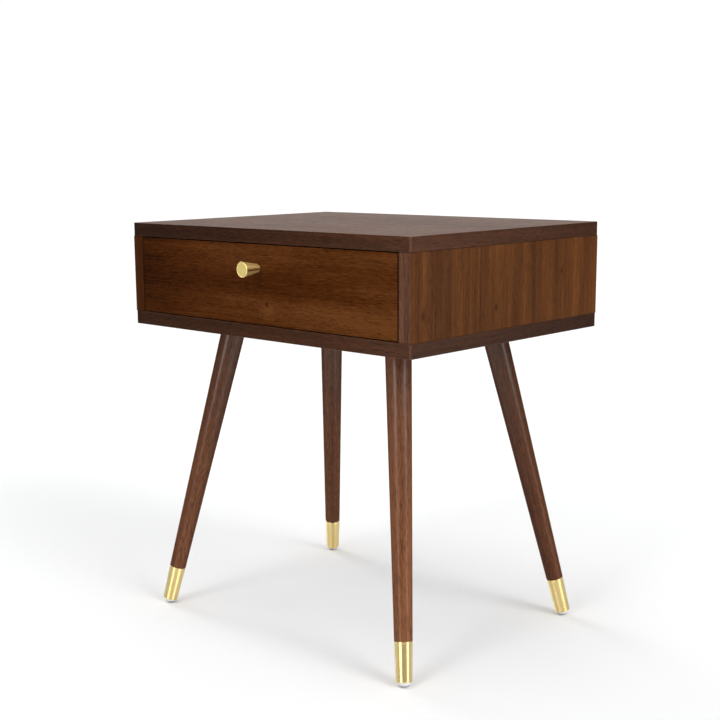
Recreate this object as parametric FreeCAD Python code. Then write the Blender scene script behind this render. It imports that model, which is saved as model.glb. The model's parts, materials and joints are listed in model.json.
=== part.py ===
import FreeCAD, Part
import math
import os

# A nightstand with one inset drawer, on four splayed, tapered legs with brass ferrules.
# All sizes are in millimetres. X runs across the front, +Y points to the back, +Z is up.
# The origin is on the floor, under the middle of the box round the whole object, knob included.

V = FreeCAD.Vector

# ---- driving dimensions -------------------------------------------------------------
CASE_WIDTH = 508.0
CASE_DEPTH = 385.0
CASE_HEIGHT = 141.0
OVERALL_HEIGHT = 553.0
BOARD = 18.0                 # top, bottom, sides and drawer front
EASED = 0.6                  # rounding of every long board edge
CORNER_RADIUS = 2.5          # upright corners of the top and bottom boards

BACK_BOARD = 6.0
BACK_INSET = 8.0             # from the case's rear face to the back board
GROOVE_DEPTH = 5.5
GROOVE_PLAY = 0.4

SPLAY_DEG = 14.5             # tilt of each leg, along the diagonal of its corner
LEG_INSET_X = 101.5          # leg axis to the case's side, at the case's underside
LEG_INSET_Y = 95.0           # leg axis to the case's front or back, at the underside
LEG_TOP_RADIUS = 16.9
LEG_SHOULDER_RADIUS = 11.5   # where the wood meets the ferrule
FERRULE_FOOT_RADIUS = 10.1
FERRULE_LENGTH = 50.0
FERRULE_WALL = 0.8
GLIDE_RADIUS = 8.7
GLIDE_DOME = 4.5
GLIDE_RIM = 1.5

PLATE_SIDE = 60.0
PLATE_THICKNESS = 2.5
PLATE_SCREW_OFFSET = 22.0
LEG_SEAT_GAP = 0.5           # between the leg top's high edge and the plate

SIDE_GAP = 2.0               # drawer front to each case side
END_GAP = 1.5                # drawer front to the boards above and below it
BOX_BOARD = 12.0
BOX_BOTTOM = 5.0
BOX_HEIGHT = 78.0
BOX_DEPTH = 350.0
BOX_LIFT = 12.0              # from the case's bottom board to the drawer box
BOX_BOTTOM_LIFT = 6.0        # from the drawer box's lower edge to its bottom

KNOB_PROJECTION = 28.0
KNOB_FACE_RADIUS = 10.0
KNOB_NECK_RADIUS = 5.7
KNOB_ABOVE_CASE_BOTTOM = 91.5

SLIDE_THICKNESS = 12.7
SLIDE_HALF_HEIGHT = 22.5
SLIDE_LENGTH = 350.0
SLIDE_SETBACK = 19.0         # from the case's front face to the slides' front ends
SLIDE_SHEET = 1.2
BUMPER_LENGTH = 8.0
BALL_RADIUS = 1.6
BALL_PLAY = 0.1
BALLS_PER_ROW = 9
BALL_PITCH = 13.0
CAGE_SHEET = 0.5
CAGE_LENGTH = 120.0
CAGE_SETBACK = 100.0

FIT_PLAY = 0.05              # round a dowel, shank or ferrule in its hole

# ---- places that follow from them ---------------------------------------------------
CASE_BOTTOM = OVERALL_HEIGHT - CASE_HEIGHT
CASE_CENTRE_Y = KNOB_PROJECTION / 2
FRONT_Y = CASE_CENTRE_Y - CASE_DEPTH / 2
BACK_Y = CASE_CENTRE_Y + CASE_DEPTH / 2
HALF_WIDTH = CASE_WIDTH / 2
OPENING_HALF = HALF_WIDTH - BOARD
OPENING_BOTTOM = CASE_BOTTOM + BOARD
OPENING_TOP = OVERALL_HEIGHT - BOARD
GROOVE_WIDTH = BACK_BOARD + GROOVE_PLAY
GROOVE_Y = BACK_Y - BACK_INSET - GROOVE_WIDTH

BOX_HALF = OPENING_HALF - SLIDE_THICKNESS
BOX_Y0 = FRONT_Y + BOARD
BOX_Y1 = BOX_Y0 + BOX_DEPTH
BOX_Z0 = OPENING_BOTTOM + BOX_LIFT
BOX_Z1 = BOX_Z0 + BOX_HEIGHT
BOX_FLOOR_Z = BOX_Z0 + BOX_BOTTOM_LIFT
SUB_FRONT_BACK_Y = BOX_Y0 + BOX_BOARD

SLIDE_Z = (OPENING_BOTTOM + OPENING_TOP) / 2
SLIDE_Y0 = FRONT_Y + SLIDE_SETBACK
MOVING_MEMBER_LENGTH = SLIDE_LENGTH - BUMPER_LENGTH - 0.5
KNOB_Z = CASE_BOTTOM + KNOB_ABOVE_CASE_BOTTOM

SPLAY = math.radians(SPLAY_DEG)
AXIS_LENGTH = CASE_BOTTOM / math.cos(SPLAY)     # leg axis from the floor to the case's underside
LEG_TOP_DROP = PLATE_THICKNESS + LEG_SEAT_GAP + LEG_TOP_RADIUS * math.sin(SPLAY)
LEG_TOP_S = AXIS_LENGTH - LEG_TOP_DROP / math.cos(SPLAY)
DOME_RADIUS = (GLIDE_RADIUS ** 2 + GLIDE_DOME ** 2) / (2 * GLIDE_DOME)
DOME_CENTRE_S = DOME_RADIUS / math.cos(SPLAY)   # puts the tilted dome's lowest point on the floor
GLIDE_TIP_S = DOME_CENTRE_S - DOME_RADIUS
FERRULE_S = GLIDE_TIP_S + GLIDE_DOME + GLIDE_RIM
SHOULDER_S = FERRULE_S + FERRULE_LENGTH

CORNERS = {"front_left": (-1, -1), "front_right": (1, -1), "back_left": (-1, 1), "back_right": (1, 1)}
SIDES = {"left": -1, "right": 1}

# Countersunk screws: head radius, head depth, shank radius, length
PLATE_SCREW = (3.8, 2.2, 1.9, 14.0)
CASE_SLIDE_SCREW = (3.4, 2.0, 1.75, 16.0)
BOX_SLIDE_SCREW = (3.4, 2.0, 1.75, 11.0)
SLIDE_SCREW_SETBACKS = (32.0, 150.0, 300.0)
# Domed screws: head radius, head height, shank radius, length
FRONT_SCREW = (4.2, 2.2, 1.9, 24.0)
KNOB_SCREW = (4.8, 2.6, 2.0, 40.0)
FRONT_SCREW_X = 180.0
FRONT_SCREW_DZ = 20.0        # above and below the drawer box's middle height

CASE_DOWEL = (4.0, 12.0, 18.0)      # radius, depth in the top or bottom board, depth in the side
BOX_DOWEL = (3.0, 8.0, 17.0)        # radius, depth in the drawer side, depth in the end board
CASE_DOWEL_SETBACKS = (45.0, CASE_DEPTH / 2, CASE_DEPTH - 45.0)
BOX_DOWEL_DZ = 18.0

HANGER_RADIUS = 4.0
HANGER_WOOD_LENGTH = 32.0
HANGER_TAIL = 14.0           # above the leg's top
HANGER_POCKET = (5.5, 8.5)   # radius and depth of the clearance hole in the bottom board
NAIL_RADIUS = 1.0
NAIL_BOTTOM_S = 3.0
NAIL_TOP_S = 24.0


# ---- small helpers ------------------------------------------------------------------
def box(x0, x1, y0, y1, z0, z1):
    return Part.makeBox(x1 - x0, y1 - y0, z1 - z0, V(x0, y0, z0))


def along(edge, axis):
    """Whether a straight edge runs along axis 0, 1 or 2."""
    step = edge.Vertexes[-1].Point - edge.Vertexes[0].Point
    return abs(abs(step[axis]) - edge.Length) < 1e-6


def eased_board(x0, x1, y0, y1, z0, z1, corner=EASED, eased=EASED):
    """A board whose upright edges are rounded to corner and whose other edges are eased."""
    blank = box(x0, x1, y0, y1, z0, z1)
    blank = blank.makeFillet(corner, [e for e in blank.Edges if along(e, 2)])
    rims = [e for e in blank.Edges if abs(e.BoundBox.ZLength) < 1e-6]
    return blank.makeFillet(eased, rims)


def placed(shape, point, direction):
    """shape with its own +Z turned to direction and its own origin moved to point."""
    turned = shape.copy()
    turned.Placement = FreeCAD.Placement(point, FreeCAD.Rotation(V(0, 0, 1), direction))
    return turned


def turned_solid(points):
    """The solid made by turning an outline of (radius, height) points about +Z."""
    wire = Part.makePolygon([V(r, 0, s) for r, s in [*points, points[0]]])
    return Part.Face(wire).revolve(V(0, 0, 0), V(0, 0, 1), 360)


def mirrored(shape, side):
    """shape as it is on the right of the case, or its mirror image on the left."""
    return shape if side > 0 else shape.mirror(V(0, 0, 0), V(1, 0, 0))


def cross_recess(radius, depth):
    """The driver's cross, cut down from height zero."""
    arm = radius * 0.62
    half = radius * 0.13
    return box(-arm, arm, -half, half, -depth, 1).fuse(box(-half, half, -arm, arm, -depth, 1))


def countersunk(size, play=0.0):
    """A countersunk screw pointing along -Z with its flat head's face at height zero, or its hole."""
    head_radius, head_depth, shank_radius, length = size
    outline = [
        (0, 0),
        (head_radius + play, 0),
        (shank_radius + play, -head_depth - play),
        (shank_radius + play, -length + 1.5),
        (0.2, -length - play),
        (0, -length - play),
    ]
    solid = turned_solid(outline)
    return solid if play else solid.cut(cross_recess(head_radius, 1.2))


def domed_screw(size):
    """A round-headed screw pointing along -Z, whose head stands on height zero."""
    head_radius, head_height, shank_radius, length = size
    shank = Part.makeCylinder(shank_radius, length, V(0, 0, -length))
    ball = (head_radius ** 2 + head_height ** 2) / (2 * head_height)
    head = Part.makeSphere(ball, V(0, 0, head_height - ball)).common(
        Part.makeCylinder(head_radius, head_height + 1))
    recess = cross_recess(head_radius, 1.4)
    recess.translate(V(0, 0, head_height))
    return shank.fuse(head).removeSplitter().cut(recess)


def hole(radius, depth, point, direction):
    return Part.makeCylinder(radius, depth, point, direction)


def save(name, *solids):
    """Writes one node, as one solid or as a group of separate ones."""
    flat = [s for shape in solids for s in shape.Solids]
    for solid in flat:
        assert solid.isValid() and solid.Volume > 0, name
    shape = flat[0] if len(flat) == 1 else Part.makeCompound(flat)
    shape.exportStep(f"parts/{name}.step")


# ---- the case -----------------------------------------------------------------------
def case_dowel_axes():
    """(point where the board meets the side, direction into the board), for every case dowel."""
    x = HALF_WIDTH - BOARD / 2
    found = []
    for side in SIDES.values():
        for setback in CASE_DOWEL_SETBACKS:
            found.append((V(side * x, FRONT_Y + setback, OPENING_TOP), V(0, 0, 1)))
            found.append((V(side * x, FRONT_Y + setback, OPENING_BOTTOM), V(0, 0, -1)))
    return found


def dowel(size, point, into_first, play=0.0):
    """A dowel that crosses the joint at point, or the hole it sits in."""
    radius, first, second = size
    start = point - into_first * (second + play)
    return hole(radius + play, first + second + 2 * play, start, into_first)


def drilled_for_case_dowels(board):
    for point, direction in case_dowel_axes():
        board = board.cut(dowel(CASE_DOWEL, point, direction, FIT_PLAY))
    return board


def slab(z0, groove_z):
    """The top or bottom board, with its groove for the back."""
    blank = eased_board(-HALF_WIDTH, HALF_WIDTH, FRONT_Y, BACK_Y, z0, z0 + BOARD, CORNER_RADIUS)
    reach = OPENING_HALF + GROOVE_DEPTH
    groove = box(-reach, reach, GROOVE_Y, GROOVE_Y + GROOVE_WIDTH, groove_z, groove_z + GROOVE_DEPTH)
    return drilled_for_case_dowels(blank.cut(groove))


def top_board():
    return slab(OPENING_TOP, OPENING_TOP)


def bottom_board():
    """The lower board, drilled from below for the leg plates' screws and the hanger bolts' tails."""
    board = slab(CASE_BOTTOM, OPENING_BOTTOM - GROOVE_DEPTH)
    pocket_radius, pocket_depth = HANGER_POCKET
    for corner in CORNERS.values():
        up = leg_up(corner)
        board = board.cut(hole(pocket_radius, pocket_depth + 2, leg_pivot(corner) - up * 2, up))
        for point in plate_screw_points(corner):
            board = board.cut(placed(countersunk(PLATE_SCREW, FIT_PLAY), point, V(0, 0, -1)))
    return board


def side_board(side):
    """A case side, grooved for the back and drilled for its slide's screws."""
    blank = eased_board(OPENING_HALF, HALF_WIDTH, FRONT_Y, BACK_Y, OPENING_BOTTOM, OPENING_TOP)
    groove = box(OPENING_HALF - 1, OPENING_HALF + GROOVE_DEPTH, GROOVE_Y, GROOVE_Y + GROOVE_WIDTH,
                 OPENING_BOTTOM - 1, OPENING_TOP + 1)
    blank = drilled_for_case_dowels(blank.cut(groove))
    for point in case_slide_screw_points():
        blank = blank.cut(placed(countersunk(CASE_SLIDE_SCREW, FIT_PLAY), point, V(-1, 0, 0)))
    return mirrored(blank, side)


def back_board():
    reach = OPENING_HALF + GROOVE_DEPTH - 0.5
    lift = GROOVE_DEPTH - 0.5
    front = GROOVE_Y + GROOVE_PLAY / 2
    return box(-reach, reach, front, front + BACK_BOARD, OPENING_BOTTOM - lift, OPENING_TOP + lift)


# ---- the legs -----------------------------------------------------------------------
def leg_up(corner):
    """The unit vector up a leg's axis, from the floor towards the case."""
    sx, sy = corner
    level = math.sin(SPLAY) / math.sqrt(2)
    return V(-sx * level, -sy * level, math.cos(SPLAY))


def leg_pivot(corner):
    """Where a leg's axis meets the case's underside."""
    sx, sy = corner
    return V(sx * (HALF_WIDTH - LEG_INSET_X), CASE_CENTRE_Y + sy * (CASE_DEPTH / 2 - LEG_INSET_Y), CASE_BOTTOM)


def on_leg(shape, corner):
    """A piece made about its own +Z from the floor up, put on a corner's leg axis."""
    up = leg_up(corner)
    return placed(shape, leg_pivot(corner) - up * AXIS_LENGTH, up)


def leg_wood():
    """The tapered leg, stepped down to a tenon that fills the ferrule."""
    tenon_foot = FERRULE_FOOT_RADIUS - FERRULE_WALL - FIT_PLAY
    tenon_top = LEG_SHOULDER_RADIUS - FERRULE_WALL - FIT_PLAY
    foot = FERRULE_S + 1.0
    outline = [
        (0, foot),
        (tenon_foot, foot),
        (tenon_top, SHOULDER_S),
        (LEG_SHOULDER_RADIUS - 0.3, SHOULDER_S),
        (LEG_SHOULDER_RADIUS, SHOULDER_S + 0.3),
        (LEG_TOP_RADIUS, LEG_TOP_S - 1.0),
        (LEG_TOP_RADIUS - 1.0, LEG_TOP_S),
        (0, LEG_TOP_S),
    ]
    solid = turned_solid(outline)
    bore_depth = HANGER_WOOD_LENGTH + 1.0
    solid = solid.cut(hole(HANGER_RADIUS + FIT_PLAY, bore_depth, V(0, 0, LEG_TOP_S - bore_depth), V(0, 0, 1)))
    return solid.cut(hole(NAIL_RADIUS + FIT_PLAY, NAIL_TOP_S + 0.5, V(0, 0, 0), V(0, 0, 1)))


def ferrule():
    """A thin brass cup, tapered like the leg, with a rounded-over foot."""
    floor = FERRULE_S + 1.0
    outline = [
        (NAIL_RADIUS + 0.3, FERRULE_S),
        (FERRULE_FOOT_RADIUS - 0.8, FERRULE_S),
        (FERRULE_FOOT_RADIUS - 0.25, FERRULE_S + 0.25),
        (FERRULE_FOOT_RADIUS, FERRULE_S + 0.8),
        (LEG_SHOULDER_RADIUS, SHOULDER_S - 0.2),
        (LEG_SHOULDER_RADIUS - 0.2, SHOULDER_S),
        (LEG_SHOULDER_RADIUS - FERRULE_WALL, SHOULDER_S),
        (FERRULE_FOOT_RADIUS - FERRULE_WALL, floor),
        (NAIL_RADIUS + 0.3, floor),
    ]
    return turned_solid(outline)


def glide():
    """A domed plastic glide, whose tilted dome just touches the floor."""
    dome = Part.makeSphere(DOME_RADIUS, V(0, 0, DOME_CENTRE_S))
    body = Part.makeCylinder(GLIDE_RADIUS, FERRULE_S + 1, V(0, 0, -1)).common(dome)
    body = body.common(Part.makeCylinder(GLIDE_RADIUS + 1, GLIDE_TIP_S + GLIDE_DOME + 1, V(0, 0, -1)))
    rim = Part.makeCylinder(GLIDE_RADIUS, GLIDE_RIM, V(0, 0, GLIDE_TIP_S + GLIDE_DOME))
    whole = body.fuse(rim).removeSplitter()
    return whole.cut(hole(NAIL_RADIUS + FIT_PLAY, 20, V(0, 0, NAIL_BOTTOM_S), V(0, 0, 1)))


def glide_nail():
    return Part.makeCylinder(NAIL_RADIUS, NAIL_TOP_S - NAIL_BOTTOM_S, V(0, 0, NAIL_BOTTOM_S))


def hanger_bolt():
    """Coarse thread below the leg's top, machine thread above it."""
    wood_end = Part.makeCylinder(HANGER_RADIUS - 0.5, HANGER_WOOD_LENGTH, V(0, 0, LEG_TOP_S - HANGER_WOOD_LENGTH))
    tail = Part.makeCylinder(HANGER_RADIUS, HANGER_TAIL, V(0, 0, LEG_TOP_S))
    ring = Part.makeTorus(HANGER_RADIUS - 0.5, 0.45)
    bolt = wood_end.fuse(tail)
    turns = int(HANGER_WOOD_LENGTH / 3.2) - 1
    for turn in range(turns):
        thread = ring.copy()
        thread.translate(V(0, 0, LEG_TOP_S - 4 - turn * 3.2))
        bolt = bolt.fuse(thread)
    return bolt


def plate_frame(corner):
    """The level turn that takes the plate's own +X to the way its leg splays."""
    sx, sy = corner
    return FreeCAD.Placement(leg_pivot(corner), FreeCAD.Rotation(V(0, 0, 1), math.degrees(math.atan2(sy, sx))))


def plate_screw_points(corner):
    offset = PLATE_SCREW_OFFSET
    spots = [V(x, y, -PLATE_THICKNESS) for x in (-offset, offset) for y in (-offset, offset)]
    return [plate_frame(corner).multVec(spot) for spot in spots]


def leg_plate(corner):
    """A flat steel plate with a slanted boss, square to the leg's axis, tapped for the hanger bolt."""
    half = PLATE_SIDE / 2
    flat = box(-half, half, -half, half, -PLATE_THICKNESS, 0)
    flat = flat.makeFillet(6.0, [e for e in flat.Edges if along(e, 2)])
    up = V(-math.sin(SPLAY), 0, math.cos(SPLAY))
    seat = up * -(LEG_TOP_DROP / math.cos(SPLAY))
    boss = Part.makeCylinder(LEG_TOP_RADIUS - 0.9, 40, seat, up)
    boss = boss.common(box(-half, half, -half, half, -40, -PLATE_THICKNESS / 2))
    plate = flat.fuse(boss).removeSplitter()
    plate = plate.cut(hole(HANGER_RADIUS + FIT_PLAY, 60, seat - up * 20, up))
    plate.Placement = plate_frame(corner)
    for point in plate_screw_points(corner):
        plate = plate.cut(placed(countersunk(PLATE_SCREW, FIT_PLAY), point, V(0, 0, -1)))
    return plate


# ---- the drawer slides --------------------------------------------------------------
def slide_face(points):
    """A closed section, given as (distance from the case side, height), on the right slide's front end."""
    corners = [V(OPENING_HALF - u, SLIDE_Y0, SLIDE_Z + v) for u, v in [*points, points[0]]]
    return Part.Face(Part.makePolygon(corners))


def channel(web_u, tip_u, half_height, sheet, lip, length):
    """A channel with inturned lips, whose web is at web_u and whose lips are at tip_u."""
    way = 1 if tip_u > web_u else -1
    lower = [
        (web_u, -half_height),
        (tip_u, -half_height),
        (tip_u, -half_height + lip),
        (tip_u - way * sheet, -half_height + lip),
        (tip_u - way * sheet, -half_height + sheet),
        (web_u + way * sheet, -half_height + sheet),
    ]
    upper = [(u, -v) for u, v in reversed(lower)]
    return slide_face(lower + upper).extrude(V(0, length, 0))


OUTER_TIP = 10.0
MIDDLE_WEB = 2.6
MIDDLE_TIP = 11.0
INNER_TIP = 5.2
LIP = 3.2
STEP = 2 * (BALL_RADIUS + BALL_PLAY)             # room for one row of balls
MIDDLE_HALF = SLIDE_HALF_HEIGHT - SLIDE_SHEET - STEP
INNER_HALF = MIDDLE_HALF - SLIDE_SHEET - STEP
OUTER_BALL_V = SLIDE_HALF_HEIGHT - SLIDE_SHEET - STEP / 2
INNER_BALL_V = MIDDLE_HALF - SLIDE_SHEET - STEP / 2
OUTER_CAGE = (1.65, 7.6, 5.0, OUTER_BALL_V)      # web and tip distances, ball distance, ball height
INNER_CAGE = (4.25, 9.2, 7.2, INNER_BALL_V)


def case_slide_screw_points():
    x = OPENING_HALF - SLIDE_SHEET
    return [V(x, SLIDE_Y0 + setback, SLIDE_Z) for setback in SLIDE_SCREW_SETBACKS]


def box_slide_screw_points():
    x = BOX_HALF + SLIDE_SHEET
    return [V(x, SLIDE_Y0 + setback, SLIDE_Z) for setback in SLIDE_SCREW_SETBACKS]


def outer_member(side):
    member = channel(0, OUTER_TIP, SLIDE_HALF_HEIGHT, SLIDE_SHEET, LIP, SLIDE_LENGTH)
    for point in case_slide_screw_points():
        member = member.cut(placed(countersunk(CASE_SLIDE_SCREW, FIT_PLAY), point, V(-1, 0, 0)))
    return mirrored(member, side)


def middle_member(side):
    return mirrored(channel(MIDDLE_WEB, MIDDLE_TIP, MIDDLE_HALF, SLIDE_SHEET, LIP, MOVING_MEMBER_LENGTH), side)


def inner_member(side):
    member = channel(SLIDE_THICKNESS, INNER_TIP, INNER_HALF, SLIDE_SHEET, 2.4, MOVING_MEMBER_LENGTH)
    for point in box_slide_screw_points():
        member = member.cut(placed(countersunk(BOX_SLIDE_SCREW, FIT_PLAY), point, V(1, 0, 0)))
    return mirrored(member, side)


def ball_cage(size, side):
    """A thin pressed retainer with a row of steel balls in each flange, as separate solids."""
    web_u, tip_u, ball_u, ball_v = size
    half = ball_v + CAGE_SHEET / 2
    lower = [
        (web_u, -half),
        (tip_u, -half),
        (tip_u, -half + CAGE_SHEET),
        (web_u + CAGE_SHEET, -half + CAGE_SHEET),
    ]
    upper = [(u, -v) for u, v in reversed(lower)]
    strip = slide_face(lower + upper).extrude(V(0, CAGE_LENGTH, 0))
    strip.translate(V(0, CAGE_SETBACK, 0))
    first = CAGE_SETBACK + (CAGE_LENGTH - BALL_PITCH * (BALLS_PER_ROW - 1)) / 2
    balls = []
    for row in (-1, 1):
        for count in range(BALLS_PER_ROW):
            y = SLIDE_Y0 + first + count * BALL_PITCH
            centre = V(OPENING_HALF - ball_u, y, SLIDE_Z + row * ball_v)
            strip = strip.cut(hole(BALL_RADIUS + 0.15, 2, centre - V(0, 0, 1), V(0, 0, 1)))
            balls.append(Part.makeSphere(BALL_RADIUS, centre))
    return [mirrored(solid, side) for solid in [strip, *balls]]


def slide_bumper(side):
    """The plastic stop that fills the rear end of the outer member."""
    y1 = SLIDE_Y0 + SLIDE_LENGTH
    block = eased_board(OPENING_HALF - OUTER_TIP + SLIDE_SHEET + 0.3, OPENING_HALF - SLIDE_SHEET,
                        y1 - BUMPER_LENGTH, y1, SLIDE_Z - MIDDLE_HALF, SLIDE_Z + MIDDLE_HALF, 1.0, 0.8)
    return mirrored(block, side)


# ---- the drawer ---------------------------------------------------------------------
def front_screw_points():
    middle = (BOX_Z0 + BOX_Z1) / 2
    return [V(sx * FRONT_SCREW_X, SUB_FRONT_BACK_Y, middle + sz * FRONT_SCREW_DZ)
            for sx in (-1, 1) for sz in (-1, 1)]


def box_dowel_axes():
    """(point where the end board meets the side, direction into the side), for every drawer dowel."""
    middle = (BOX_Z0 + BOX_Z1) / 2
    inner = BOX_HALF - BOX_BOARD
    ends = (BOX_Y0 + BOX_BOARD / 2, BOX_Y1 - BOX_BOARD / 2)
    return [(V(side * inner, y, middle + sz * BOX_DOWEL_DZ), V(side, 0, 0))
            for side in SIDES.values() for y in ends for sz in (-1, 1)]


def drilled_for_box(board):
    """board with the drawer dowels' holes and the groove for the drawer's bottom cut in it."""
    for point, direction in box_dowel_axes():
        board = board.cut(dowel(BOX_DOWEL, point, direction, FIT_PLAY))
    reach_x = BOX_HALF - BOX_BOARD + GROOVE_DEPTH
    reach_y = BOX_BOARD - GROOVE_DEPTH
    return board.cut(box(-reach_x, reach_x, BOX_Y0 + reach_y, BOX_Y1 - reach_y,
                         BOX_FLOOR_Z - 0.1, BOX_FLOOR_Z + BOX_BOTTOM + 0.1))


def drawer_front():
    half = OPENING_HALF - SIDE_GAP
    board = eased_board(-half, half, FRONT_Y, FRONT_Y + BOARD, OPENING_BOTTOM + END_GAP, OPENING_TOP - END_GAP)
    for point in front_screw_points():
        board = board.cut(hole(FRONT_SCREW[2] + FIT_PLAY, FRONT_SCREW[3] + 0.5, point, V(0, -1, 0)))
    return board.cut(hole(KNOB_SCREW[2] + 0.25, BOARD + 2, V(0, FRONT_Y - 1, KNOB_Z), V(0, 1, 0)))


def drawer_sub_front():
    inner = BOX_HALF - BOX_BOARD
    board = drilled_for_box(eased_board(-inner, inner, BOX_Y0, SUB_FRONT_BACK_Y, BOX_Z0, BOX_Z1))
    for point in front_screw_points():
        board = board.cut(hole(FRONT_SCREW[2] + FIT_PLAY, 30, point + V(0, 1, 0), V(0, -1, 0)))
    return board.cut(hole(KNOB_SCREW[2] + 0.25, 40, V(0, FRONT_Y - 1, KNOB_Z), V(0, 1, 0)))


def drawer_back():
    inner = BOX_HALF - BOX_BOARD
    return drilled_for_box(eased_board(-inner, inner, BOX_Y1 - BOX_BOARD, BOX_Y1, BOX_Z0, BOX_Z1))


def drawer_side(side):
    board = drilled_for_box(eased_board(BOX_HALF - BOX_BOARD, BOX_HALF, BOX_Y0, BOX_Y1, BOX_Z0, BOX_Z1))
    for point in box_slide_screw_points():
        board = board.cut(placed(countersunk(BOX_SLIDE_SCREW, FIT_PLAY), point, V(1, 0, 0)))
    return mirrored(board, side)


def drawer_bottom():
    reach_x = BOX_HALF - BOX_BOARD + GROOVE_DEPTH - 0.5
    reach_y = BOX_BOARD - GROOVE_DEPTH + 0.5
    return box(-reach_x, reach_x, BOX_Y0 + reach_y, BOX_Y1 - reach_y, BOX_FLOOR_Z, BOX_FLOOR_Z + BOX_BOTTOM)


def knob():
    """A turned cone that widens towards a lightly dished, bevelled face."""
    bevel = 1.1
    dish = 0.3
    outline = [
        (0, 0),
        (KNOB_NECK_RADIUS - 0.3, 0),
        (KNOB_NECK_RADIUS, 0.3),
        (KNOB_FACE_RADIUS, KNOB_PROJECTION - bevel),
        (KNOB_FACE_RADIUS - bevel * 0.4, KNOB_PROJECTION - bevel * 0.25),
        (KNOB_FACE_RADIUS - bevel, KNOB_PROJECTION),
        (KNOB_FACE_RADIUS - bevel - 0.4, KNOB_PROJECTION),
        (KNOB_FACE_RADIUS - bevel - 0.9, KNOB_PROJECTION - dish),
        (0, KNOB_PROJECTION - dish),
    ]
    solid = turned_solid(outline).cut(hole(KNOB_SCREW[2] + FIT_PLAY, 12, V(0, 0, -1), V(0, 0, 1)))
    return placed(solid, V(0, FRONT_Y, KNOB_Z), V(0, -1, 0))


# ---- the nodes ----------------------------------------------------------------------
def write_case():
    save("top_board", top_board())
    save("bottom_board", bottom_board())
    save("back_board", back_board())
    for name, side in SIDES.items():
        save(f"{name}_side_board", side_board(side))
    save("case_dowels", *[dowel(CASE_DOWEL, point, way) for point, way in case_dowel_axes()])


def write_legs():
    pieces = {"leg": leg_wood(), "ferrule": ferrule(), "glide": glide(), "hanger_bolt": hanger_bolt()}
    for name, corner in CORNERS.items():
        for piece, shape in pieces.items():
            save(f"{name}_{piece}", on_leg(shape, corner))
        save(f"{name}_leg_plate", leg_plate(corner))
    save("glide_nails", *[on_leg(glide_nail(), corner) for corner in CORNERS.values()])
    screw = countersunk(PLATE_SCREW)
    save("leg_plate_screws", *[placed(screw, point, V(0, 0, -1))
                               for corner in CORNERS.values() for point in plate_screw_points(corner)])


def write_slides():
    case_screws = []
    box_screws = []
    for name, side in SIDES.items():
        save(f"{name}_slide_outer_member", outer_member(side))
        save(f"{name}_slide_middle_member", middle_member(side))
        save(f"{name}_slide_inner_member", inner_member(side))
        save(f"{name}_slide_outer_ball_cage", *ball_cage(OUTER_CAGE, side))
        save(f"{name}_slide_inner_ball_cage", *ball_cage(INNER_CAGE, side))
        save(f"{name}_slide_bumper", slide_bumper(side))
        case_screws += [mirrored(placed(countersunk(CASE_SLIDE_SCREW), point, V(-1, 0, 0)), side)
                        for point in case_slide_screw_points()]
        box_screws += [mirrored(placed(countersunk(BOX_SLIDE_SCREW), point, V(1, 0, 0)), side)
                       for point in box_slide_screw_points()]
    save("slide_to_case_screws", *case_screws)
    save("slide_to_drawer_screws", *box_screws)


def write_drawer():
    save("drawer_front", drawer_front())
    save("drawer_sub_front", drawer_sub_front())
    save("drawer_back", drawer_back())
    save("drawer_bottom", drawer_bottom())
    for name, side in SIDES.items():
        save(f"drawer_{name}_side", drawer_side(side))
    save("drawer_dowels", *[dowel(BOX_DOWEL, point, way) for point, way in box_dowel_axes()])
    save("drawer_front_screws", *[placed(domed_screw(FRONT_SCREW), point, V(0, 1, 0))
                                  for point in front_screw_points()])
    save("knob", knob())
    save("knob_screw", placed(domed_screw(KNOB_SCREW), V(0, SUB_FRONT_BACK_Y, KNOB_Z), V(0, 1, 0)))


os.makedirs("parts", exist_ok=True)
write_case()
write_legs()
write_slides()
write_drawer()
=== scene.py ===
"""The looks of a nightstand: walnut-stained veneer, turned legs, satin brass, zinc-plated drawer slides."""
import json
import math

import bpy
import numpy as np
from mathutils import Matrix, Vector

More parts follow.
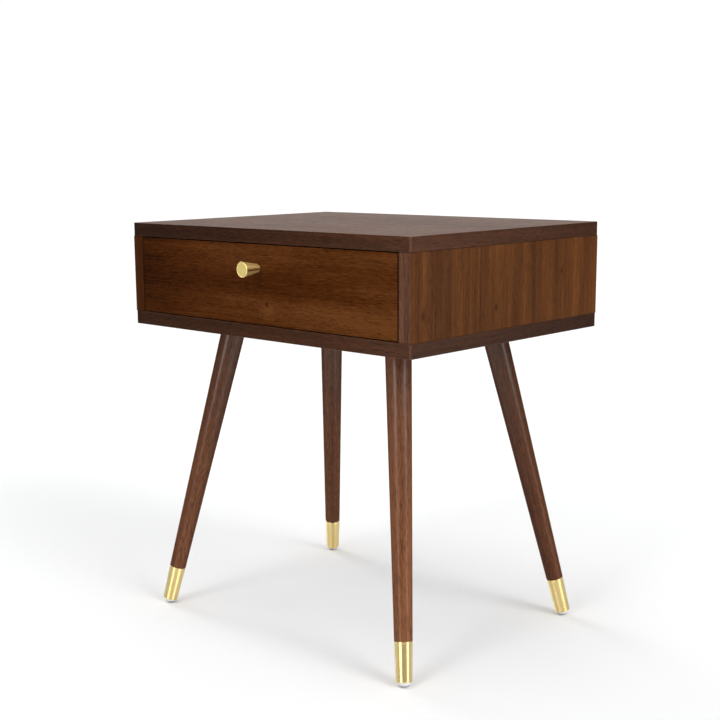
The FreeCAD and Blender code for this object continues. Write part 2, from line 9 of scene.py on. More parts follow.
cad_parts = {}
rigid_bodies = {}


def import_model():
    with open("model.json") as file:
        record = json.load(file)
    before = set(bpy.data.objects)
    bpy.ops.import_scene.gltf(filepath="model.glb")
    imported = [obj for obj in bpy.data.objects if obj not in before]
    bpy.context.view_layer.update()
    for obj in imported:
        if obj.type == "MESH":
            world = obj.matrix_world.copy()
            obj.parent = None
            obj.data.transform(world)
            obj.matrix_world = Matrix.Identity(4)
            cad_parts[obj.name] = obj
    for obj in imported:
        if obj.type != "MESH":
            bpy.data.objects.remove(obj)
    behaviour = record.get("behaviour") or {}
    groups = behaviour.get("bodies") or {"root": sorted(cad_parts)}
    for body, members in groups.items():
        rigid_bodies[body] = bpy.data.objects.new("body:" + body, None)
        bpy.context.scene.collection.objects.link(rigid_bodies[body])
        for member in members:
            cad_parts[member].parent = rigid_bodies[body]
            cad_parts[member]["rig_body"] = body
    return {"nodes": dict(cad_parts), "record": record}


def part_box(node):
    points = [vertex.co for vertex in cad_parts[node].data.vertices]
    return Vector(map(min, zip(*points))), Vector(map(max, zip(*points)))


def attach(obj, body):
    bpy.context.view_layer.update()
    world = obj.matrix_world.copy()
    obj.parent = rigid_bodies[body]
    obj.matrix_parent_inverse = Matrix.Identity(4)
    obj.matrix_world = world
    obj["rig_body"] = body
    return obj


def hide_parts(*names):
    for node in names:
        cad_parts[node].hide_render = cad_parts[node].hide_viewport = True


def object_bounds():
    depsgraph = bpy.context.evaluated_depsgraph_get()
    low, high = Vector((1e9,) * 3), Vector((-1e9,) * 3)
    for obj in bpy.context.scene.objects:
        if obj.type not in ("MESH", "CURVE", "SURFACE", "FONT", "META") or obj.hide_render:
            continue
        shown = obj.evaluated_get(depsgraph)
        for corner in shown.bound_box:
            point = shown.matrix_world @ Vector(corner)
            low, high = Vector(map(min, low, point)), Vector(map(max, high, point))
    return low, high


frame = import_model()
CAD_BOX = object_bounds()

MM = 0.001
LOW, HIGH = CAD_BOX
SIDES = ("left", "right")
CORNERS = [f"{end}_{side}" for end in ("front", "back") for side in SIDES]
CASE_LOW, CASE_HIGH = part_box("bottom_board")[0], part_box("top_board")[1]
CASE_CENTRE = (CASE_LOW + CASE_HIGH) / 2

DOME_HORIZON, DOME_ZENITH = 0.34, 0.76    # the studio dome's brightness, level and straight up
STRIPS = ((2, 3.4), (97, 3.0))            # azimuth and brightness of its tall soft light panels
FLOOR_PAINT = 0.87                        # how white the floor is
FLOOR_BOUNCE = 0.85                       # how much of its light the floor passes on to the object
FLOOR_GLOW = 0.018                        # how much light of its own it shows the camera
FLOOR_REACH = 12.0                        # how far it goes each way, in metres

CAMERA_SPOT = (1.2049, -1.2884, 0.6486)
CAMERA_TURN = (43.77, 10.51, -0.50)       # yaw, pitch down and roll, in degrees
CAMERA_LENS = 64.5                        # millimetres
CAMERA_SHIFT = (0.028, 0.042)


# ---- shader sums, written as expressions --------------------------------------------
class Value:
    """One socket of a finish's node tree, which Python's operators add Math nodes to."""

    def __init__(self, finish, socket):
        self.finish = finish
        self.socket = socket

    def math(self, operation, *values):
        return self.finish.node("ShaderNodeMath", {"operation": operation}, dict(enumerate(values)))

    def __add__(self, other):
        return self.math("ADD", self, other)

    def __radd__(self, other):
        return self.math("ADD", other, self)

    def __sub__(self, other):
        return self.math("SUBTRACT", self, other)

    def __rsub__(self, other):
        return self.math("SUBTRACT", other, self)

    def __mul__(self, other):
        return self.math("MULTIPLY", self, other)

    def __rmul__(self, other):
        return self.math("MULTIPLY", other, self)

    def __truediv__(self, other):
        return self.math("DIVIDE", self, other)

    def __pow__(self, other):
        return self.math("POWER", self, other)

    def __abs__(self):
        return self.math("ABSOLUTE", self)

    def above(self, level):
        """1 where this is above level, 0 elsewhere."""
        return self.math("GREATER_THAN", self, level)

    def sine(self):
        return self.math("SINE", self)

    def bell(self):
        """exp(-this squared): 1 at nothing, falling off smoothly each way."""
        return self.math("EXPONENT", self * self * -1.0)

    def span(self, low, high, smooth=True):
        """0 at low and 1 at high, held there beyond them."""
        settings = {"interpolation_type": "SMOOTHSTEP" if smooth else "LINEAR"}
        sockets = {"Value": self, "From Min": low, "From Max": high}
        return self.finish.node("ShaderNodeMapRange", settings, sockets)


class Nodes:
    """A node tree that is filled through one method."""

    def __init__(self, tree):
        self.tree = tree
        self.tree.nodes.clear()

    def node(self, kind, settings=None, sockets=None, output=0):
        """Adds a node: its settings first, then the values or links of its sockets. Returns one output."""
        made = self.tree.nodes.new(kind)
        for name, value in (settings or {}).items():
            if name == "stops":
                self.set_stops(made.color_ramp, value)
            else:
                setattr(made, name, value)
        for name, value in (sockets or {}).items():
            socket = made.inputs[name]
            if isinstance(value, Value):
                self.tree.links.new(value.socket, socket)
            else:
                socket.default_value = value
        return Value(self, made.outputs[output])

    @staticmethod
    def set_stops(ramp, stops):
        for spot, colour in stops[2:]:
            ramp.elements.new(spot)
        for element, (spot, colour) in zip(ramp.elements, stops):
            element.position = spot
            element.color = (*colour, 1.0)

    def ramp(self, factor, stops):
        return self.node("ShaderNodeValToRGB", {"stops": stops}, {"Fac": factor})

    def mix(self, factor, first, second, blend="MIX"):
        """first where factor is 0 and second where it is 1, as colours."""
        first, second = ((*c, 1.0) if isinstance(c, tuple) else c for c in (first, second))
        settings = {"data_type": "RGBA", "blend_type": blend, "clamp_factor": True}
        return self.node("ShaderNodeMix", settings, {0: factor, 6: first, 7: second}, output=2)

    def mix_places(self, factor, first, second):
        """The same for two sets of coordinates."""
        settings = {"data_type": "VECTOR"}
        return self.node("ShaderNodeMix", settings, {0: factor, 4: first, 5: second}, output=1)

    def place(self):
        """Object coordinates: metres in the row frame, because every piece sits at the origin."""
        return self.node("ShaderNodeTexCoord", output=3)

    def edge_on(self):
        """0 where the surface faces the eye and 1 where it is seen edge on; only for gloss."""
        return self.node("ShaderNodeLayerWeight", None, {"Blend": 0.5}, output=1)

    def attribute(self, name):
        """A vector that the mesh keeps at each vertex."""
        return self.node("ShaderNodeAttribute", {"attribute_name": name}, output=1)

    def facing(self):
        """The surface's own direction, in the row frame."""
        return self.node("ShaderNodeTexCoord", output=1)

    def split(self, vector):
        first = self.node("ShaderNodeSeparateXYZ", None, {0: vector})
        outputs = first.socket.node.outputs
        return first, Value(self, outputs[1]), Value(self, outputs[2])

    def join(self, x, y, z):
        return self.node("ShaderNodeCombineXYZ", None, {0: x, 1: y, 2: z})

    def scaled(self, vector, scale, shift=(0.0, 0.0, 0.0)):
        """The vector times scale, plus shift, part by part."""
        sockets = {0: vector, 1: scale, 2: shift}
        return self.node("ShaderNodeVectorMath", {"operation": "MULTIPLY_ADD"}, sockets)

    def noise(self, vector, scale=1.0, detail=2.0, roughness=0.5, distortion=0.0):
        sockets = {"Vector": vector, "Scale": scale, "Detail": detail, "Roughness": roughness,
                   "Distortion": distortion}
        return self.node("ShaderNodeTexNoise", {"noise_dimensions": "3D"}, sockets)

    def cells(self, vector, scale):
        return self.node("ShaderNodeTexVoronoi", None, {"Vector": vector, "Scale": scale})

    def bump(self, height, depth):
        return self.node("ShaderNodeBump", None, {"Height": height, "Distance": depth, "Strength": 1.0})

    def finish_with(self, kind, shader):
        """Ends the tree in an output node, which has no outputs of its own."""
        end = self.tree.nodes.new(kind)
        self.tree.links.new(shader.socket, end.inputs["Surface"])


class Finish(Nodes):
    """A material whose nodes end in one Principled shader."""

    def __init__(self, name):
        self.material = bpy.data.materials.new(name)
        self.material.use_nodes = True
        super().__init__(self.material.node_tree)

    def done(self, **sockets):
        """Ends the tree in a Principled shader with these sockets, spaces written as underscores."""
        named = {name.replace("_", " "): (*value, 1.0) if isinstance(value, tuple) else value
                 for name, value in sockets.items()}
        self.finish_with("ShaderNodeOutputMaterial", self.node("ShaderNodeBsdfPrincipled", None, named))
        return self.material


# ---- wood ---------------------------------------------------------------------------
WARM_SHEEN = (1.0, 0.40, 0.14)    # the oily lacquer's gloss, seen straight on
VENEER_PORES = 0.00012            # depth of the open pores in veneer, in metres
AXES = {"x": (0, 1, 2), "y": (1, 2, 0), "z": (2, 0, 1)}

# How fine each scale of the grain is, along the grain and across it, in repeats a metre.
SWAY = (9.0, 22.0, 22.0)
STREAK = (4.0, 260.0, 260.0)
FLECK = (95.0, 900.0, 900.0)
PORE = (75.0, 1500.0, 1500.0)
CONTRAST = 2.4                    # spreads a noise, which stays near a half, over all the tones


def grain_along(finish, axis, place=None):
    """Coordinates whose first one runs along the grain."""
    parts = finish.split(place or finish.place())
    return finish.join(*[parts[index] for index in AXES[axis]])


def edge_banded(finish):
    """Grain along X, but along Y on the two ends, where the edge band is glued on."""
    across = abs(finish.split(finish.facing())[0]).above(0.6)
    ends = finish.scaled(grain_along(finish, "y"), (1, 1, 1), (3.1, 0.7, 0.2))
    return finish.mix_places(across, grain_along(finish, "x"), ends)


def wood(finish, grain, tones, cloud=0.3, streaks=0.3, flecks=0.3, pores=0.5, tone_shift=None,
         broad=9.0, wave=0.002):
    """(colour, height, pore, fleck) of stained wood, from noises that are stretched along the grain.

    The grain first wanders sideways by up to wave. Then three scales add up: a cloudy figure that
    repeats broad times a metre across the grain, streaks a few millimetres wide, and short flecks
    about a millimetre wide. Dark open pores lie on top. The sum, with stain added, picks a colour
    from tones, dark to light.
    """
    sway = (finish.noise(finish.scaled(grain, SWAY), 1.0, 2.0, 0.5) - 0.5) * (2.0 * wave)
    sideways = finish.join(0.0, sway, sway)
    grain = finish.node("ShaderNodeVectorMath", {"operation": "ADD"}, {0: grain, 1: sideways})
    shade = finish.noise(finish.scaled(grain, (1.8, broad, broad)), 1.0, 2.0, 0.5, 0.4)
    streak = finish.noise(finish.scaled(grain, STREAK), 1.0, 2.0, 0.55)
    fleck = finish.noise(finish.scaled(grain, FLECK), 1.0, 2.0, 0.7)
    pore = finish.noise(finish.scaled(grain, PORE), 1.0, 1.0, 0.5).span(0.56, 0.68)
    depth = 0.5 + (shade - 0.5) * (CONTRAST * cloud) + (streak - 0.5) * (CONTRAST * streaks)
    depth = depth + (fleck - 0.5) * (CONTRAST * flecks)
    if tone_shift is not None:
        depth = depth + tone_shift
    colour = finish.ramp(depth, tones)
    colour = finish.mix(pore * pores, colour, tuple(0.4 * c for c in tones[0][1]))
    height = streak * 0.3 + fleck * 0.4 - pore * 0.7
    return colour, height, pore, fleck


def sum_of(values):
    """One value from several."""
    total, *rest = values
    for value in rest:
        total = total + value
    return total


def knot(finish, place, spot, size):
    """exp(-distance squared) round one spot on a face, in units of size; a size of 0 leaves an axis out."""
    parts = zip(finish.split(place), spot, size)
    offsets = [(part - middle) / reach for part, middle, reach in parts if reach]
    distance = sum_of(offset * offset for offset in offsets)
    return distance.math("EXPONENT", distance * -1.0)


# Tones as (spot on the ramp, colour), dark to light.
UMBER = [(0.12, (0.017, 0.0055, 0.0023)), (0.5, (0.047, 0.0160, 0.0066)), (0.88, (0.092, 0.034, 0.015))]
SABLE = [(0.12, (0.060, 0.0260, 0.0130)), (0.5, (0.126, 0.0570, 0.0300)), (0.88, (0.200, 0.098, 0.055))]
AMBER = [(0.10, (0.016, 0.0030, 0.0003)), (0.5, (0.070, 0.0185, 0.0030)), (0.90, (0.136, 0.046, 0.012))]
RUSSET = [(0.10, (0.046, 0.0150, 0.0050)), (0.5, (0.101, 0.0340, 0.0095)), (0.90, (0.172, 0.060, 0.015))]
LEG_BROWN = [(0.10, (0.050, 0.0150, 0.0045)), (0.5, (0.112, 0.0370, 0.0130)), (0.90, (0.225, 0.085, 0.034))]
PALE = [(0.1, (0.42, 0.27, 0.14)), (0.5, (0.56, 0.39, 0.22)), (0.9, (0.67, 0.50, 0.31))]
KRAFT = [(0.1, (0.15, 0.080, 0.040)), (0.5, (0.20, 0.115, 0.060)), (0.9, (0.26, 0.155, 0.085))]


def slab_veneer():
    """Dark stained veneer, paler and shinier on the flat faces than on the edge bands.

    The colour is painted lighter to the right as shading, and paler on the rounded corners as a painted
    highlight. The ends darken backwards and on the lower slab. Short dashes along the grain break up the
    flat faces' gloss.
    """
    finish = Finish("slab_veneer")
    grain = edge_banded(finish)
    x, y, z = finish.split(finish.place())
    across, along, upright = (abs(part) for part in finish.split(finish.facing()))
    face, end = upright.above(0.7), across.above(0.6)
    # painted highlight: the rounded upright corners are made paler, and glossier
    painted_lighting = (across * along).span(0.10, 0.40)
    rightwards = x.span(LOW.x, HIGH.x, smooth=False)
    backwards = y.span(LOW.y, HIGH.y, smooth=False)
    lower = 1.0 - z.span(CASE_CENTRE.z - 0.01, CASE_CENTRE.z + 0.01)
    end_darkening = end * (backwards * 0.20 + lower * 0.30 - 0.06)
    # painted shading: lighter to the right and darker to the left; the paler corners are a painted highlight
    tone_shift = rightwards * 0.46 - 0.36 - end_darkening + lower * 0.12 + painted_lighting * 0.4
    edge, height, pore, fleck = wood(finish, grain, UMBER, 0.25, 0.2, 0.45, 0.5, tone_shift)
    flat = wood(finish, grain, SABLE, 0.25, 0.5, 0.6, 0.6)[0]
    dash = finish.noise(finish.scaled(grain, (22.0, 64.0, 64.0)), 1.0, 4.0, 0.7)
    gloss = face * (0.43 + backwards * 0.12) * (1.0 + (dash - 0.5) * 1.8)
    gloss = gloss + (1.0 - face) * rightwards ** 3.0 * (1.0 - backwards) * 0.30
    return finish.done(Base_Color=finish.mix(face, edge, flat), Roughness=0.45 + pore * 0.2,
                       Specular_IOR_Level=0.10, Specular_Tint=WARM_SHEEN,
                       Coat_Weight=(0.02 + painted_lighting * 0.3 + gloss) * (2.0 - fleck * 2.0 - pore * 0.5),
                       Coat_Roughness=0.30, Normal=finish.bump(height, VENEER_PORES))


SIDE_KNOTS = (                    # place along the depth, height above the case's foot, size
    (-0.156, 0.048, 0.0030),
    (-0.017, 0.046, 0.0022),
    (0.123, 0.081, 0.0020),
)


def side_veneer():
    """Upright stripes and a few small dark knots, and a painted shadow line in the joints where the board
    meets the slabs.

    The bands at the front and back are redder on the left.
    """
    finish = Finish("side_veneer")
    place = finish.place()
    spots = [((0.0, along, CASE_LOW.z + height), size) for along, height, size in SIDE_KNOTS]
    eye = sum_of(knot(finish, place, spot, (0, size, size * 1.8)) for spot, size in spots)
    halo = sum_of(knot(finish, place, spot, (0, size * 3.0, size * 6.0)) for spot, size in spots)
    x, y, z = finish.split(place)
    grain = finish.join(z, x, y + halo * 0.004)
    backwards = y.span(LOW.y, HIGH.y, smooth=False)
    tone_shift = 0.04 - backwards * 0.10 - halo * 0.10 - eye * 0.35
    colour, height, pore, _ = wood(finish, grain, RUSSET, 0.52, 0.30, 0.28, 0.4, tone_shift, broad=42.0)
    ageing = finish.mix(backwards, (1.02, 1.10, 1.32), (0.96, 0.92, 0.72))
    colour = finish.mix(1.0, colour, ageing, "MULTIPLY")
    band = abs(finish.split(finish.facing())[1]).above(0.6)
    tint = finish.mix(x.above(0.0), (0.40, 0.22, 0.05), (1.02, 0.98, 1.10))
    strip = wood(finish, finish.scaled(grain, (1, 1, 1), (0.4, 1.7, 2.9)), SABLE, 0.3, 0.4, 0.4, 0.4)[0]
    colour = finish.mix(band, colour, finish.mix(1.0, strip, tint, "MULTIPLY"))
    # painted shadow: a thin dark line along each joint with the slabs, where the gap lies in shade
    joint_width = 0.6 * MM
    painted_joint_shadow = sum_of(((z - end.z) / joint_width).bell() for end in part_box("right_side_board"))
    colour = finish.mix(painted_joint_shadow * 0.75, colour, (0.008, 0.003, 0.0015))
    return finish.done(Base_Color=colour, Roughness=0.42 + pore * 0.2, Specular_IOR_Level=0.06,
                       Specular_Tint=WARM_SHEEN, Normal=finish.bump(height, VENEER_PORES))


FRONT_KNOT = (0.0148, 0.0456)     # right of the middle, height above the case's foot


def front_veneer():
    """Warm amber veneer with a cloudy figure, painted darker towards its left end as shading, and one small
    knot.

    The figure is three wide soft bands, of which one is dark, that drift up and down. The grain
    bends round the knot, and the wood under it is paler.
    """
    finish = Finish("drawer_front_veneer")
    place = finish.place()
    low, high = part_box("drawer_front")
    spot_x, spot_z = FRONT_KNOT[0], CASE_LOW.z + FRONT_KNOT[1]
    eye = knot(finish, place, (spot_x, 0.0, spot_z), (0.0022, 0, 0.0030))
    halo = knot(finish, place, (spot_x + 0.002, 0.0, spot_z - 0.006), (0.012, 0, 0.012))
    x, y, z = finish.split(place)
    grain = finish.join(x, y + halo * 0.006, z + halo * 0.006)
    drift = (finish.noise(finish.scaled(place, (7.0, 0.0, 26.0)), 1.0, 2.0, 0.5) - 0.5) * 0.05
    drifted, middle = finish.join(x, y, z + drift), (low.z + high.z) / 2
    dark = knot(finish, drifted, (0.11, 0.0, middle), (0.20, 0, 0.013))
    pale = knot(finish, drifted, (0.13, 0.0, middle - 0.037), (0.18, 0, 0.016))
    glow = knot(finish, drifted, (0.0, 0.0, middle + 0.034), (0.10, 0, 0.022))
    # painted shading: darker towards the left end and lighter to the right
    left_end = 1.0 - x.span(low.x, -0.08)
    tone_shift = x.span(low.x, high.x, smooth=False) * 0.28 - 0.12 - left_end * 0.10
    tone_shift = tone_shift + halo * 0.24 - eye * 0.6 + pale * 0.22 + glow * 0.12 - dark * 0.18
    colour, height, pore, _ = wood(finish, grain, AMBER, 0.50, 0.16, 0.28, 0.6, tone_shift,
                                   broad=16.0, wave=0.004)
    return finish.done(Base_Color=colour, Roughness=0.42 + pore * 0.2, Specular_IOR_Level=0.02,
                       Specular_Tint=WARM_SHEEN, Normal=finish.bump(height, VENEER_PORES))


def leg_wood():
    """Turned solid wood, whose grain follows each leg's own axis.

    Over its top 220 mm it grows glossier, and darker as painted shade under the case. The gloss fades
    towards the outline, where a leg turns away from the eye.
    """
    finish = Finish("leg_wood")
    grain = grain_along(finish, "z", finish.attribute("on_leg"))
    shade = finish.split(finish.attribute("leg_shade"))[0]
    # painted shade: the wood darkens towards the case above
    upper = finish.split(finish.place())[2].span(CASE_LOW.z - 0.22, CASE_LOW.z)
    colour, height, pore, _ = wood(finish, grain, LEG_BROWN, 0.35, 0.18, 0.34, 0.6, shade - upper * 0.12,
                                   broad=30.0)
    gloss = (0.46 + upper * 0.40 - pore * 0.25) * (1.0 - finish.edge_on().span(0.20, 0.60))
    return finish.done(Base_Color=colour, Roughness=0.55 + pore * 0.2, Specular_IOR_Level=0.05,
                       Specular_Tint=WARM_SHEEN, Coat_Weight=gloss, Coat_Roughness=0.24,
                       Normal=finish.bump(height, 0.0001))


def plain_wood(name, axis, tones, roughness=0.55, streaks=0.35, pores=0.15):
    """Unstained or thinly sealed wood, of the drawer box, dowels and back."""
    finish = Finish(name)
    colour, height, _, fibre = wood(finish, grain_along(finish, axis), tones, 0.3, streaks, 0.3, pores)
    return finish.done(Base_Color=colour, Roughness=roughness + fibre * 0.12, Specular_IOR_Level=0.35,
                       Normal=finish.bump(height, 0.00015))


# ---- metal and plastic --------------------------------------------------------------
def satin_brass(name, groove, polish, glow=0.0):
    """Lacquered brass with lathe lines round each piece's own axis.

    groove is the lines' depth in metres, and polish the roughness. glow is how much of the brushed
    flanks of a level piece scatters light from every side. A painted dark band, fully metal, stays half way
    up each flank, and a painted highlight, a crest that scatters more, lies above it. The end faces scatter
    nearly a third.
    """
    finish = Finish(name)
    x, y, z = finish.split(finish.attribute("on_axis"))
    radius = x.math("SQRT", x * x + y * y)
    line = finish.noise(finish.join(radius * 5200.0, z * 5200.0, 0.0), 1.0, 2.0, 0.6)
    smudge = finish.noise(finish.attribute("on_axis"), 90.0, 3.0, 0.55)
    colour = finish.ramp(line * 0.4 + smudge * 0.6, [(0.3, (0.88, 0.66, 0.27)), (0.7, (0.95, 0.75, 0.34))])
    metal = 1.0
    if glow:
        _, endways, upwards = finish.split(finish.facing())
        flank = 1.0 - abs(endways).span(0.45, 0.75)
        # painted shade and highlight, set by how far the flank faces up: the band stays fully metal and
        # dark, the crest scatters more
        painted_dark_band = ((upwards + 0.10) / 0.19).bell()
        painted_light_crest = ((upwards - 0.40) / 0.12).bell()
        metal = 0.70 + flank * 0.30 - flank * (1.0 - painted_dark_band * 0.95) * (glow + painted_light_crest * 0.25)
        colour = finish.mix(0.45, colour, finish.mix(flank, (1.0, 0.80, 0.20), (0.80, 0.50, 0.15)))
    return finish.done(Base_Color=colour, Metallic=metal, Roughness=polish + smudge * 0.08 + line * 0.05,
                       Coat_Weight=0.35, Coat_Roughness=0.12, Normal=finish.bump(line, groove))


def milky_plastic():
    """Milky white domes, painted dark grey underneath as the shade where they meet the floor."""
    finish = Finish("milky_glide")
    place = finish.place()
    cloud = finish.noise(place, 260.0, 2.0, 0.5)
    # painted shade: the lowest few millimetres go dark grey and duller
    painted_lighting = 1.0 - (finish.split(place)[2] + cloud * 0.0012).span(0.0016, 0.0036)
    colour = finish.mix(painted_lighting, finish.ramp(cloud, [(0.3, (0.78, 0.78, 0.79)), (0.7, (0.86, 0.86, 0.86))]),
                        (0.10, 0.10, 0.11))
    return finish.done(Base_Color=colour, Roughness=0.24 + cloud * 0.12 + painted_lighting * 0.3, Coat_Weight=0.3,
                       Normal=finish.bump(cloud, 0.00002))


def zinc_steel():
    """Cold-rolled strip, zinc plated: a faint bluish spangle and scratches along the travel."""
    finish = Finish("zinc_steel")
    place = finish.place()
    spangle = finish.cells(place, 240.0)
    drawn = finish.noise(finish.scaled(place, (2600.0, 18.0, 2600.0)), 1.0, 2.0, 0.6)
    colour = finish.ramp(spangle * 0.3 + drawn * 0.7,
                         [(0.2, (0.30, 0.32, 0.34)), (0.8, (0.50, 0.51, 0.53))])
    return finish.done(Base_Color=colour, Metallic=1.0, Roughness=0.30 + drawn * 0.16,
                       Normal=finish.bump(drawn, 0.00002))


def screw_steel():
    """Yellowish plated steel of the screws, bolts and nails."""
    finish = Finish("screw_steel")
    place = finish.place()
    speck = finish.noise(place, 900.0, 3.0, 0.6)
    colour = finish.ramp(speck, [(0.3, (0.50, 0.47, 0.38)), (0.7, (0.70, 0.67, 0.58))])
    return finish.done(Base_Color=colour, Metallic=1.0, Roughness=0.25 + speck * 0.18,
                       Normal=finish.bump(speck, 0.00002))


def black_steel():
    """Powder-coated leg plates: a fine orange-peel skin."""
    finish = Finish("black_steel")
    place = finish.place()
    peel = finish.noise(place, 1500.0, 2.0, 0.5)
    dust = finish.noise(place, 70.0, 3.0, 0.6)
    colour = finish.ramp(dust, [(0.3, (0.012, 0.012, 0.013)), (0.75, (0.030, 0.029, 0.028))])
    return finish.done(Base_Color=colour, Roughness=0.38 + peel * 0.18, Normal=finish.bump(peel, 0.00005))


def black_plastic():
    """Moulded bumpers at the ends of the slides, finely grained."""
    finish = Finish("black_bumper")
    grainy = finish.noise(finish.place(), 1800.0, 2.0, 0.5)
    colour = finish.ramp(grainy, [(0.3, (0.012, 0.012, 0.012)), (0.7, (0.022, 0.022, 0.022))])
    return finish.done(Base_Color=colour, Roughness=0.5 + grainy * 0.15, Normal=finish.bump(grainy, 0.00004))


# ---- surfaces -----------------------------------------------------------------------
def rounded(corners, steps=5):
    """An outline whose corners are arcs, as (points, normals).

    Each corner is (a, b, radius). Along an arc the normal turns evenly from one side's normal to
    the next's, so a smooth shade stays flat on the straight stretches. Radius 0 keeps a sharp end.
    """
    spots = np.array([c[:2] for c in corners], float)
    points, normals = [], []
    for index, (a, b, radius) in enumerate(corners):
        before = spots[index] - spots[max(index - 1, 0)]
        after = spots[min(index + 1, len(corners) - 1)] - spots[index]
        sides = [v / np.linalg.norm(v) for v in (before, after) if np.linalg.norm(v) > 0]
        first, last = sides[0], sides[-1]
        turn = math.atan2(first[0] * last[1] - first[1] * last[0], first @ last)
        if radius == 0 or abs(turn) < 1e-6:
            for side in ([first, last] if abs(turn) > 1e-6 else [first]):
                points.append(spots[index])
                normals.append((side[1], -side[0]))
            continue
        cut = radius * math.tan(abs(turn) / 2)
        start = spots[index] - first * cut
        hand = math.copysign(1.0, turn)
        centre = start + hand * radius * np.array([-first[1], first[0]])
        angles = np.linspace(0, turn, steps + 1)[:, None]
        out = start - centre
        swung = np.cos(angles) * out + np.sin(angles) * np.array([-out[1], out[0]])
        points.extend(centre + swung)
        normals.extend(hand * swung / radius)
    return np.array(points), np.array(normals)


def mesh_piece(name, points, faces, corner_normals, attributes=None):
    """A mesh object from points, lists of faces and one normal per face corner."""
    mesh = bpy.data.meshes.new(name)
    mesh.from_pydata(points, [], faces)
    mesh.update()
    for key, values in (attributes or {}).items():
        layer = mesh.attributes.new(key, "FLOAT_VECTOR", "POINT")
        layer.data.foreach_set("vector", np.asarray(values, np.float32).ravel())
    mesh.shade_smooth()
    mesh.normals_split_custom_set(corner_normals)
    piece = bpy.data.objects.new(name, mesh)
    bpy.context.scene.collection.objects.link(piece)
    return piece


def welded(profile):
    """A profile whose sharp corners' two points become one.

    Returns the number of separate points, each point's own number, and where a new one starts.
    """
    fresh = np.append(True, np.linalg.norm(np.diff(profile, axis=0), axis=1) > 1e-9)
    return int(fresh.sum()), np.cumsum(fresh) - 1, fresh


def lathe(name, outline, foot, axis, attribute="on_axis", segments=96, shift=(0.0, 0.0, 0.0)):
    """A solid of revolution.

    The outline's (radius, height) points are carried round the axis: point(i, j) is foot plus
    height j along the axis plus radius j towards angle i. The first and last points lie on the
    axis and become one pole each. Each vertex keeps its own place about the axis in attribute,
    moved by shift so that no two pieces have the same grain.
    """
    profile, slopes = outline
    turn = np.array(Vector(axis).normalized().to_track_quat("Z", "Y").to_matrix())
    angles = np.linspace(0, 2 * math.pi, segments, endpoint=False)
    rim = np.stack([np.cos(angles), np.sin(angles)], axis=1)
    rings, tilts = profile[1:-1], slopes[1:-1]
    count, ring_of, fresh = welded(rings)
    local = np.empty((count, segments, 3))
    local[..., :2] = rings[fresh][:, None, :1] * rim[None]
    local[..., 2] = rings[fresh][:, 1:]
    local = np.concatenate([local.reshape(-1, 3), [[0, 0, profile[0, 1]], [0, 0, profile[-1, 1]]]])
    normals = np.empty((len(rings), segments, 3))
    normals[..., :2] = tilts[:, None, :1] * rim[None]
    normals[..., 2] = tilts[:, 1:]
    normals = np.concatenate([normals.reshape(-1, 3), [[0, 0, -1], [0, 0, 1]]])
    here = np.arange(segments)
    after = np.roll(here, -1)
    j = np.flatnonzero(fresh[1:])[:, None] * segments
    quads = np.stack([j + here, j + after, j + segments + after, j + segments + here], axis=-1)
    quads = quads.reshape(-1, 4)
    last, pole = (len(rings) - 1) * segments, np.full(segments, len(rings) * segments)
    fans = np.concatenate([np.stack([after, here, pole], axis=-1),
                           np.stack([last + here, last + after, pole + 1], axis=-1)])
    number = np.append((ring_of[:, None] * segments + here).ravel(), count * segments + np.arange(2))
    faces = number[quads].tolist() + number[fans].tolist()
    shown = normals[np.concatenate([quads.ravel(), fans.ravel()])] @ turn.T
    points = local @ turn.T + np.array(foot)
    return mesh_piece(name, points, faces, shown, {attribute: local + np.array(shift)})


def strip_steel(name, outline, y0, y1):
    """A rolled strip: a closed (x, z) outline carried along Y from y0 to y1, with both ends flat."""
    profile, slopes = outline
    count = len(profile)
    ends = np.concatenate([np.insert(profile, 1, y, axis=1) for y in (y0, y1)])
    here = np.arange(count)
    after = np.roll(here, -1)
    quads = np.stack([here, here + count, after + count, after], axis=-1)
    faces = quads.tolist() + [here.tolist(), (here[::-1] + count).tolist()]
    side = np.insert(slopes, 1, 0.0, axis=1)[quads.ravel() % count]
    caps = np.repeat([[0.0, -1.0, 0.0], [0.0, 1.0, 0.0]], count, axis=0)
    return mesh_piece(name, ends, faces, np.concatenate([side, caps]))


# ---- turned pieces ------------------------------------------------------------------
def leg_axis(corner):
    """(foot on the floor, unit direction up) of a leg, from its glide and its hanger bolt."""
    low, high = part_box(f"{corner}_glide")
    bolt_low, bolt_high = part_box(f"{corner}_hanger_bolt")
    glide, bolt = (low + high) / 2, (bolt_low + bolt_high) / 2
    up = (bolt - glide).normalized()
    return glide - up * (glide.z / up.z), up


def span_on(node, foot, up):
    """(lowest, highest) distance of a node's vertices along an axis."""
    mesh = frame["nodes"][node].data
    flat = np.empty(len(mesh.vertices) * 3)
    mesh.vertices.foreach_get("co", flat)
    along = (flat.reshape(-1, 3) - np.array(foot)) @ np.array(up)
    return along.min(), along.max()


def turned_leg(corner, number, shade):
    """A straight taper with eased ends; its foot is a tenon inside the ferrule."""
    foot, up = leg_axis(corner)
    low, high = span_on(f"{corner}_leg", foot, up)
    shoulder = span_on(f"{corner}_ferrule", foot, up)[1]
    outline = [
        (0, low, 0),
        (9.2 * MM, low, 0.4 * MM),                  # the tenon
        (10.6 * MM, shoulder, 0),
        (11.5 * MM, shoulder, 0.35 * MM),           # the shoulder on the ferrule's lip
        (16.9 * MM, high - 0.6 * MM, 1.2 * MM),     # the top, under the leg plate
        (14.5 * MM, high, 0.6 * MM),
        (0, high, 0),
    ]
    shift = (0.31 * number, 0.17 * number, 0.5 * number)
    piece = lathe(f"{corner}_turned_leg", rounded(outline), foot, up, "on_leg", shift=shift)
    layer = piece.data.attributes.new("leg_shade", "FLOAT_VECTOR", "POINT")
    layer.data.foreach_set("vector", np.full(3 * len(piece.data.vertices), shade, np.float32))
    return dress(piece, f"{corner}_leg", "leg_wood")


